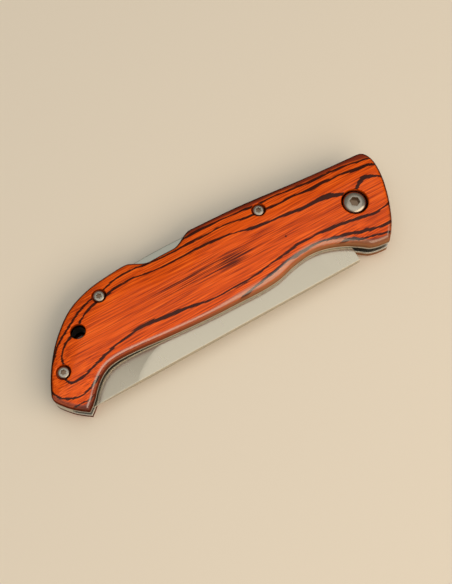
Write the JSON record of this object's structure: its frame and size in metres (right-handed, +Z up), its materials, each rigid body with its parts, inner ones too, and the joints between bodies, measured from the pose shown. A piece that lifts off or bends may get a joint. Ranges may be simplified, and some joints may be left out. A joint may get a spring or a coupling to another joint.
{
  "type": "folding pocket knife",
  "caption": "Folding pocket knife with a back lock, a straight-spined blade folded in, steel liners and contoured laminated wood scales.",
  "frame": {"origin": "on the surface that the closed knife lies on, below the middle of its outline", "axes": "+X along the closed blade towards the pivot end, +Y towards the back and its lock bar, +Z up out of the show side"},
  "size_m": [0.1242, 0.036, 0.013],
  "materials": {
    "laminated_wood": "satin lacquered",
    "blade_steel": "satin ground",
    "liner_steel": "ground edges",
    "lock_steel": "cross ground",
    "screw_steel": "turned and tumbled",
    "spring_steel": "tempered",
    "washer_bronze": "stamped"
  },
  "bodies": {
    "handle": {"front_scale": "laminated_wood", "rear_scale": "laminated_wood", "front_liner": "liner_steel", "rear_liner": "liner_steel", "back_spacer": "lock_steel", "lock_spring": "spring_steel", "rear_washer": "washer_bronze", "front_washer": "washer_bronze", "pivot_screw": "screw_steel", "pivot_barrel": "screw_steel", "rocker_sleeve": "lock_steel", "front_rocker_screw": "screw_steel", "rear_rocker_screw": "screw_steel", "mid_sleeve": "lock_steel", "front_mid_screw": "screw_steel", "rear_mid_screw": "screw_steel", "butt_sleeve": "lock_steel", "front_butt_screw": "screw_steel", "rear_butt_screw": "screw_steel"},
    "blade": {"blade": "blade_steel"},
    "lock_bar": {"lock_bar": "lock_steel"}
  },
  "joints": [
    {"name": "blade_hinge", "type": "hinge", "parent": "handle", "child": "blade", "pos_m": [0.04892, -0.00048, 0.0065], "axis": [0, 0, 1], "range_deg": [0, 180]},
    {"name": "lock_release", "type": "hinge", "parent": "handle", "child": "lock_bar", "pos_m": [0.02122, 0.01232, 0.0065], "axis": [0, 0, 1], "range_deg": [-2.1, 0.6], "stiffness_Nm_per_rad": 1}
  ]
}
